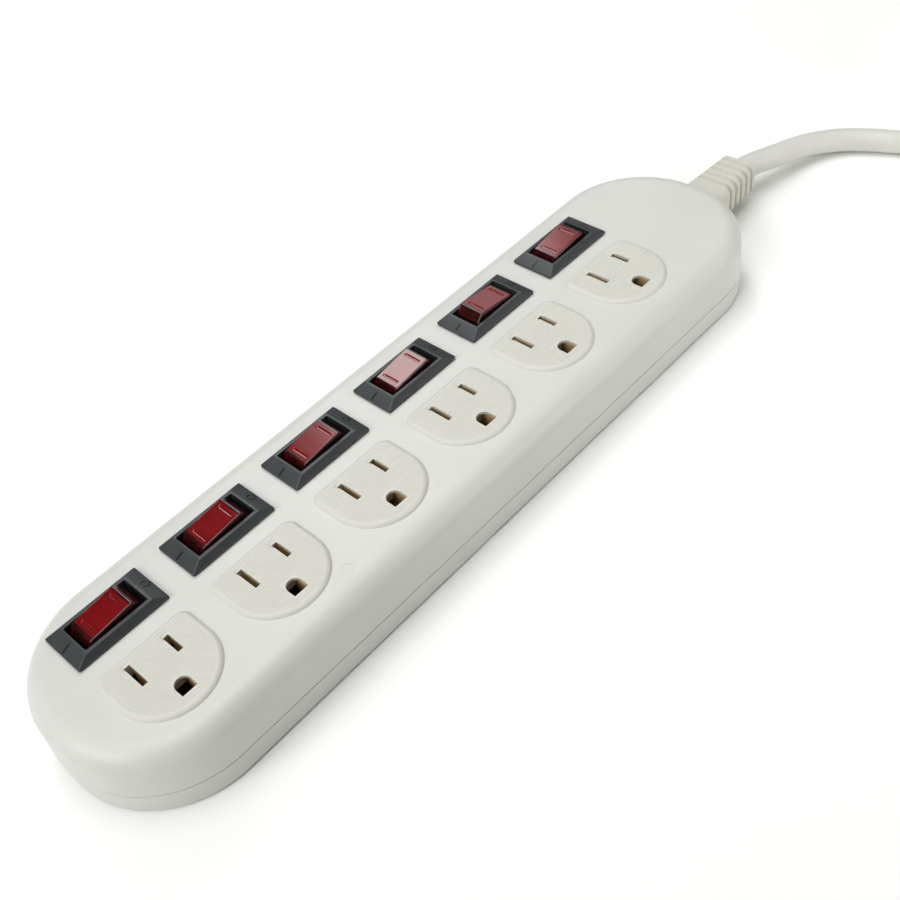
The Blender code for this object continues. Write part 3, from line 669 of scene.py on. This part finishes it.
def smooth_line(route, steps=8):
    """A Catmull-Rom curve through the route's points."""
    points = [Vector(p) for p in route]
    ends = [2 * points[0] - points[1], *points, 2 * points[-1] - points[-2]]
    line = []
    for before, start, end, after in zip(ends, ends[1:], ends[2:], ends[3:]):
        for i in range(steps):
            t = i / steps
            linear = (end - before) * t
            square = (2 * before - 5 * start + 4 * end - after) * t**2
            cube = (3 * start - before - 3 * end + after) * t**3
            line.append(start + (linear + square + cube) / 2)
    return [*line, points[-1]]


def hank_run(x_start, x_end, y, z):
    """Eight points along a straight run, its start included and its end left out."""
    return [(x_start + (x_end - x_start) * i / 8, y, z) for i in range(8)]


def hank_route():
    """Two and a half turns, each a cord's thickness above the last, climbing in the fold by the strip."""
    layer = 2 * CORD_RADIUS
    floor_line = HANK_BOTTOM + CORD_RADIUS
    near = HANK_Y - HANK_FOLD
    far = HANK_Y + HANK_FOLD
    points = []
    for turn in range(2):
        low = floor_line + turn * layer
        points += hank_run(HANK_LEFT, HANK_RIGHT, near, low)
        points += [(x, y, low) for x, y in arc((HANK_RIGHT, HANK_Y), HANK_FOLD, -90, 90, 12)]
        points += hank_run(HANK_RIGHT, HANK_LEFT, far, low)[1:]
        for i, (x, y) in enumerate(arc((HANK_LEFT, HANK_Y), HANK_FOLD, 90, 270, 12)[:-1]):
            share = min(1.0, max(0.0, (i - CLIMB_START) / CLIMB_LENGTH))
            points.append((x, y, low + layer * ease(share)))
    high = floor_line + 2 * layer
    return [*points, *hank_run(HANK_LEFT, HANK_RIGHT, near, high), (HANK_RIGHT, near, high)]


def cord():
    line = smooth_line([*LEAD_ROUTE, *hank_route(), *TAIL_ROUTE])
    curve = bpy.data.curves.new("cord", "CURVE")
    curve.dimensions = "3D"
    curve.bevel_depth = CORD_RADIUS
    curve.bevel_resolution = 6
    curve.use_fill_caps = True
    spline = curve.splines.new("POLY")
    spline.points.add(len(line) - 1)
    for point, place in zip(spline.points, line):
        point.co = (*place, 1.0)
    spline.use_smooth = True
    made = bpy.data.objects.new("cord", curve)
    made.data.materials.append(CORD_WHITE)
    bpy.context.scene.collection.objects.link(made)
    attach(made, "housing")
    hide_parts("power_cord_lead", "cord_hank", "power_cord_tail")
    return made


def tie():
    """A strap that hugs the folded length: high over the near runs, lower over the far ones."""
    low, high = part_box("cord_tie")
    near = HANK_Y - HANK_FOLD - CORD_RADIUS - GAP
    far = HANK_Y + HANK_FOLD + CORD_RADIUS + GAP
    tall = HANK_BOTTOM + 6 * CORD_RADIUS + GAP
    short = HANK_BOTTOM + 4 * CORD_RADIUS + GAP
    corners = [
        (near, low.z + TIE_THICKNESS),
        (far, low.z + TIE_THICKNESS),
        (far, short),
        (near + 2 * CORD_RADIUS, tall),
        (near, tall),
    ]
    inner = rounded_polygon(corners, TIE_CORNER, 5)
    outer = grown(inner, TIE_THICKNESS)
    strap = loft([[(x, y, z) for y, z in outer] for x in (low.x, high.x)])
    hole = loft([[(x, y, z) for y, z in inner] for x in (low.x - PAST, high.x + PAST)])
    made = piece("tie", carved(strap, cuts=[hole], bevel=SOFT_EDGE), STRAP, "housing")
    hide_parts("cord_tie")
    return made


def plug():
    """A moulded plug with a waist, grip ribs on its two sides and a collared sleeve."""
    low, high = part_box("plug_body")
    middle = (low.y + high.y) / 2
    half = (high.y - low.y) / 2
    front, back = low.x, high.x
    bottom, top = low.z, high.z
    cord_z = TAIL_ROUTE[-1][2]

    def ring(x, half_y, lowest, highest, corner):
        section = rounded(half_y, (highest - lowest) / 2, corner, 8, (middle, (highest + lowest) / 2))
        return [(x, y, z) for y, z in section]

    rings = []
    for behind, inset, corner in PLUG_NOSE:
        rings.append(ring(front + behind, half - inset, bottom + inset, top - inset, corner))
    start = front + PLUG_TAPER_START
    waist = back - PLUG_WAIST
    body_corner = PLUG_NOSE[-1][2]
    for i in range(9):
        eased = ease(i / 8)
        half_y = half - (half - PLUG_WAIST_HALF) * eased - PLUG_RIDGE * (i % 2)
        lowest = bottom + PLUG_TAPER_BELOW * eased
        highest = top - PLUG_TAPER_ABOVE * eased
        rings.append(ring(start + (waist - start) * i / 8, half_y, lowest, highest, body_corner))
    for k in range(PLUG_COLLARS):
        x = waist + PLUG_COLLAR_START + PLUG_COLLAR_PITCH * k
        for step, inset in PLUG_COLLAR:
            half_y = PLUG_COLLAR_HALF - PLUG_COLLAR_TAPER * k - inset
            half_z = half_y * PLUG_COLLAR_FLATTEN
            rings.append(ring(x + step, half_y, cord_z - half_z, cord_z + half_z, PLUG_COLLAR_CORNER))
    half_y, half_z = PLUG_END
    rings.append(ring(back, half_y, cord_z - half_z, cord_z + half_z, PLUG_END_CORNER))
    made = piece("plug", carved(loft(rings)), CORD_WHITE, "housing", sharp=60)
    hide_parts("plug_body")
    return made


def free_cord():
    made = cord()
    plug()
    tie()


# Housing


def plan(offset, z):
    """The housing's outline from above, moved outward by an offset."""
    outline = rounded(HALF_LENGTH + offset, HALF_WIDTH + offset, PLAN_RADIUS + offset, 24, (HOUSING_X, 0.0))
    return [(x, y, z) for x, y in outline]


def edge_rings(wall, radius, top, steps):
    """Rings up a rounded edge whose wall stands at an offset, ending on the flat top."""
    rings = []
    for i in range(steps + 1):
        turn = math.radians(90 * i / steps)
        rings.append(plan(wall - radius * (1 - math.cos(turn)), top - radius * (1 - math.sin(turn))))
    return rings


def notch():
    """The way through the end wall for the boot's neck."""
    flange_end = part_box("strain_relief")[0].x + BOOT_FLANGE_THICKNESS
    half = BOOT_NECK[0] + GAP
    return box((flange_end + GAP, BASE_HIGH.x + PAST), (-half, half), NOTCH_Z)


def face_outline(offset):
    """A D with its straight side towards the switches, anticlockwise, about X = 0."""
    half = FACE_RADIUS + offset
    corner = max(0.0005, FACE_CORNER + offset)
    top = FACE_CHORD_Y + offset - corner
    right = arc((half - corner, top), corner, 0, 90, 8)
    left = arc((corner - half, top), corner, 90, 180, 8)
    return right + left + arc((0.0, FACE_ARC_Y), half, 180, 360, 64)


def cover():
    bottom = COVER_LOW.z
    inner = edge_rings(-WALL, EDGE_RADIUS - WALL, TOP - WALL, 6)
    outer = edge_rings(-DRAFT, EDGE_RADIUS - DRAFT, TOP, 14)
    shell = loft([*reversed(inner), plan(-WALL, bottom), plan(0.0, bottom), *outer])
    through = (CUT_BOTTOM, CUT_TOP)
    faces = [moved(prism(face_outline(0.0), *through), x) for x in STATIONS]
    hole = rounded(BODY[0] + GAP, BODY[1] + GAP, BODY_CORNER, 2)
    switches = [moved(prism(hole, *through), x, SWITCH_Y) for x in STATIONS]
    rings = []
    for x in STATIONS:
        ring = flat_ring(*RING_RADII, PAST, 24)
        rings.append(moved(ring, x + RING_SPOT[0], RING_SPOT[1], TOP - RING_DEPTH))
    cuts = [together(faces), together(switches), notch(), together(rings)]
    made = piece("cover", carved(shell, cuts=cuts, bevel=FINE_EDGE), WHITE, "housing", sharp=30)
    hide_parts("top_cover")


def base():
    top = SEAM_LOW
    foot = [[(x, y, -z) for x, y, z in ring] for ring in reversed(edge_rings(0.0, FOOT_RADIUS, 0.0, 6))]
    lip = [plan(-LIP_OFFSET, top), plan(-LIP_OFFSET, BASE_HIGH.z), plan(-BASE_WALL, BASE_HIGH.z)]
    shell = loft([*foot, plan(0.0, top), *lip, plan(-BASE_WALL, WALL)])
    pockets = []
    for k in NUMBERS:
        low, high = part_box(f"case_screw_{k}")
        rim = circle((low.x + high.x) / 2, (low.y + high.y) / 2, SCREW_POCKET_RADIUS, 32)
        pockets.append(prism(rim, -PAST, SCREW_POCKET_DEPTH))
    mesh = carved(shell, cuts=[together(pockets), notch()], bevel=SOFT_EDGE)
    made = piece("base", mesh, WHITE, "housing", sharp=30)
    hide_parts("bottom_base")


# Outlets


def face_half_width(y, offset):
    """Half the width, at a height on the face, of its outline moved by an offset."""
    half = FACE_RADIUS + offset
    if y >= FACE_ARC_Y:
        return half
    return math.sqrt(max(0.0, half**2 - (y - FACE_ARC_Y) ** 2))


def rib_spans(y, holes):
    """Where a groove runs along X at this height, clear of the holes and their smooth margins."""
    reach = face_half_width(y, -FACE_RIM)
    spans = [(-reach, reach)]
    for x, half, low, high in holes:
        if not low < y < high:
            continue
        left = [(a, min(b, x - half)) for a, b in spans]
        right = [(max(a, x + half), b) for a, b in spans]
        spans = left + right
    return [(a, b) for a, b in spans if b - a > SHORTEST_RIB]


def contact_pocket(x, bus, inner):
    """The hollow under a hole that takes a contact's two fingers, placed by its bus."""
    low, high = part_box(bus)
    half = inner + FINGER + FINGER_ROOM
    y = (low.y - FINGER_ROOM, high.y + FINGER_ROOM)
    return box((x - half, x + half), y, (FACE_BOTTOM - PAST, high.z + GAP))


def rib_grooves(holes):
    """The grooves between the face's ribs."""
    grooves = []
    y = FACE_ARC_Y - FACE_RADIUS + FACE_RIM + RIB_PITCH
    while y < FACE_CHORD_Y - FACE_RIM - RIB_PITCH / 2:
        for span in rib_spans(y, holes):
            grooves.append(loft([[(x, y + dy, FACE_TOP + dz) for dy, dz in RIB_GROOVE] for x in span]))
        y += RIB_PITCH
    return together(grooves)


def lead_in(x, end):
    """A dish pressed into the face at a slot's end."""
    rings = []
    for offset, z in LEAD_IN_DISH:
        halves = (LEAD_IN_HALF[0] + offset, LEAD_IN_HALF[1] + offset)
        outline = rounded(*halves, LEAD_IN_CORNER + offset, 4, (x, end - LEAD_IN_BACK))
        rings.append([(*point, FACE_TOP + z) for point in outline])
    return loft(rings)


def face_mesh():
    flange_top = TOP - WALL - GAP
    levels = [(FACE_FLANGE, FACE_BOTTOM), (FACE_FLANGE, flange_top), (-GAP, flange_top)]
    levels += [(offset, TOP + rise) for offset, rise in FACE_EDGE]
    levels.append((-FACE_RIM, FACE_TOP))
    plate = loft([[(x, y, z) for x, y in face_outline(offset)] for offset, z in levels])
    through = (FACE_BOTTOM - PAST, CUT_TOP)
    slots = []
    lead_ins = []
    pockets = [contact_pocket(0.0, "ground_bus", PIN_GRIP / 2)]
    reach = GROUND_RADIUS + SMOOTH_MARGIN
    holes = [(0.0, reach, GROUND_Y - GROUND_FLAT - SMOOTH_MARGIN, GROUND_Y + reach)]
    for side, length, middle in (NEUTRAL_SLOT, HOT_SLOT):
        x = side * BLADE_X
        end = SLOT_Y + middle + length / 2
        slots.append(box((x - SLOT_HALF, x + SLOT_HALF), (end - length, end), through))
        lead_ins.append(lead_in(x, end))
        holes.append((x, SLOT_HALF + SMOOTH_MARGIN, end - length - SMOOTH_MARGIN, end + SMOOTH_MARGIN))
        # The hot contacts have their fingers level with the neutral bus's
        pockets.append(contact_pocket(x, "neutral_bus", SLOT_HALF))
    ground = arc((0.0, GROUND_Y), GROUND_RADIUS, 0, 180, 20)
    ground += [(-GROUND_RADIUS, GROUND_Y - GROUND_FLAT), (GROUND_RADIUS, GROUND_Y - GROUND_FLAT)]
    slots.append(prism(ground, *through))
    return carved(plate, cuts=[rib_grooves(holes), together(lead_ins), together(slots), together(pockets)])


# Switches


def switch_mesh():
    """Bezel, rim and well in one moulding, about the switch's middle."""
    levels = [
        (BODY, BODY_LOW.z, BODY_CORNER),
        (BODY, TOP + GAP, BODY_CORNER),
        (BEZEL, TOP + GAP, BEZEL_CORNER),
        (BEZEL, TOP + GAP + BEZEL_EDGE, BEZEL_CORNER),
        (RIM, BODY_HIGH.z, RIM_CORNER),
        (OPENING, BODY_HIGH.z, OPENING_CORNER),
        (OPENING, WELL_FLOOR, OPENING_CORNER),
    ]
    moulding = loft([[(x, y, z) for x, y in rounded(*half, corner, 3)] for half, z, corner in levels])
    bearing = circle(0, PIVOTS["rocker_1"].z, BEARING_RADIUS, 20)
    bearings = side_prism(bearing, -BODY[1] - PAST, BODY[1] + PAST)
    live_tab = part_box("live_bus")[0].y - SWITCH_Y
    hot_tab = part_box("hot_contact_1")[1].y - TAB_THICKNESS - SWITCH_Y
    slots = []
    for x, near in ((-BLADE_X, live_tab), (BLADE_X, hot_tab)):
        y = (near - GAP, near + TAB_THICKNESS + GAP)
        slots.append(box((x - TAB_SLOT / 2, x + TAB_SLOT / 2), y, (BODY_LOW.z - PAST, TAB_SLOT_TOP)))
    return carved(moulding, cuts=[bearings, together(slots)], bevel=FINE_EDGE)


def mark_mesh(symbol):
    """A raised bar or ring lying on Z = 0, its length along X."""
    if symbol == "ring":
        shape = flat_ring(*MARK_RING, MARK_HEIGHT, 32)
    else:
        shape = prism(rounded(*MARK_BAR, 4), 0.0, MARK_HEIGHT)
    return carved(shape, bevel=0.00006)


def rocker_mesh():
    """Clear red cap about its pivot: bevelled ends, two recessed grips, trunnions, a hollow below."""
    outline = ROCKER_SIDE + [(-x, z) for x, z in reversed(ROCKER_SIDE)]
    cap = side_prism(outline, -ROCKER_HALF_WIDTH, ROCKER_HALF_WIDTH)
    softened = bmesh.new()
    softened.from_mesh(carved(cap, bevel=ROCKER_EDGE, segments=4))
    pin = circle(0, 0, PIN_RADIUS, 20)
    pins = together([side_prism(pin, side * PIN_REACH[0], side * PIN_REACH[1]) for side in (-1, 1)])
    grips = []
    for side in (-1, 1):
        rings = []
        for half, z in GRIP_DISH:
            section = rounded(half, half + GRIP_LONGER, half * 0.98, 8)
            rings.append([(x, y, ROCKER_TOP + z) for x, y in section])
        grips.append(moved(loft(rings), side * GRIP_X))
    hollow = box(*[(-half, half) for half in LAMP_ROOM])
    return carved(softened, [pins], [hollow, together(grips)])


def mark_place():
    """Where a mark lies on a bezel's sloping end, from the switch's middle, and the slope."""
    outer = Vector((BEZEL[0], 0.0, TOP + GAP + BEZEL_EDGE))
    inner = Vector((RIM[0], 0.0, BODY_HIGH.z))
    slope = math.atan2(inner.z - outer.z, outer.x - inner.x)
    return (outer + inner) / 2 - Vector((0.0, 0.0, MARK_SUNK)), slope


def repeated_pieces():
    face = face_mesh()
    switch = switch_mesh()
    bar = mark_mesh("bar")
    ring = mark_mesh("ring")
    rocker = rocker_mesh()
    middle, slope = mark_place()
    ranges = {joint["child"]: joint["range_deg"] for joint in frame["joints"]}
    for k, x in zip(NUMBERS, STATIONS):
        made = piece(f"face_{k}", face, FACE_WHITE, "housing", (x, 0.0, 0.0), sharp=25)
        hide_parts(f"outlet_face_{k}")
        made = piece(f"switch_{k}", switch, BEZEL_GREY, "housing", (x, SWITCH_Y, 0.0), sharp=25)
        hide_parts(f"switch_body_{k}")
        for kind, mesh, side in (("on", bar, -1), ("off", ring, 1)):
            place = (x + side * middle.x, SWITCH_Y, middle.z)
            piece(f"mark_{kind}_{k}", mesh, MARK_GREY, "housing", place, side * slope)
        body = f"rocker_{k}"
        tilt = TILT if ranges[body][0] < 0 else -TILT
        made = piece(f"cap_{k}", rocker, RED, body, PIVOTS[body], tilt, 25)
        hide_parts(body)


# Boot


def boot():
    """The cord's boot: a flange and neck held by the housing, and a tapering grooved sleeve."""
    low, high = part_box("strain_relief")
    centre_z = (low.z + high.z) / 2
    flange_end = low.x + BOOT_FLANGE_THICKNESS
    root_x = BASE_HIGH.x + BOOT_STAND_OFF

    def ring(x, half, inset=0.0, follow=0.0):
        """A rounded section, and with follow 1 the end wall's curve in plan."""
        points = []
        for y, z in rounded(half[0] - inset, half[1] - inset, BOOT_CORNER, 8, (0.0, centre_z)):
            past = max(0.0, abs(y) - (HALF_WIDTH - PLAN_RADIUS))
            back = PLAN_RADIUS - math.sqrt(PLAN_RADIUS**2 - past**2)
            points.append((x - follow * back, y, z))
        return points

    def half_at(x):
        share = (x - root_x) / (high.x - root_x)
        return [root + (tip - root) * share for root, tip in zip(BOOT_ROOT, BOOT_TIP)]

    rings = [ring(low.x, BOOT_FLANGE), ring(flange_end, BOOT_FLANGE)]
    rings += [ring(flange_end, BOOT_NECK), ring(root_x, BOOT_NECK, follow=1.0)]
    rings += [ring(root_x, BOOT_ROOT, BOOT_EDGE, 1.0), ring(root_x + BOOT_EDGE, BOOT_ROOT, follow=1.0)]
    for k in range(BOOT_GROOVES):
        for step, inset in BOOT_GROOVE:
            x = root_x + BOOT_SMOOTH + BOOT_PITCH * k + step
            rings.append(ring(x, half_at(x), inset))
    rings += [ring(high.x - BOOT_EDGE, BOOT_TIP), ring(high.x, BOOT_TIP, BOOT_TIP_INSET)]
    made = piece("boot", carved(loft(rings)), BOOT_WHITE, "housing", sharp=30)
    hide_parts("strain_relief")


def carried_over():
    """Materials for the solids that stay as the frame has them."""
    looks = {"neutral_bus": BRASS, "ground_bus": BRASS, "live_bus": BRASS, "contact_carrier": CARRIER}
    looks.update({name: PRONG for name in ("plug_blade_line", "plug_blade_neutral", "plug_ground_pin")})
    looks.update(WIRES)
    for k in NUMBERS:
        looks[f"hot_contact_{k}"] = BRASS
        looks[f"case_screw_{k}"] = STEEL
        looks[f"neon_lamp_{k}"] = LAMP
    for name, look in looks.items():
        node = bpy.data.objects[name]
        node.data.materials.clear()
        node.data.materials.append(look)


camera()
floor()
lights()
free_cord()
cover()
base()
repeated_pieces()
boot()
carried_over()

bpy.context.view_layer.update()
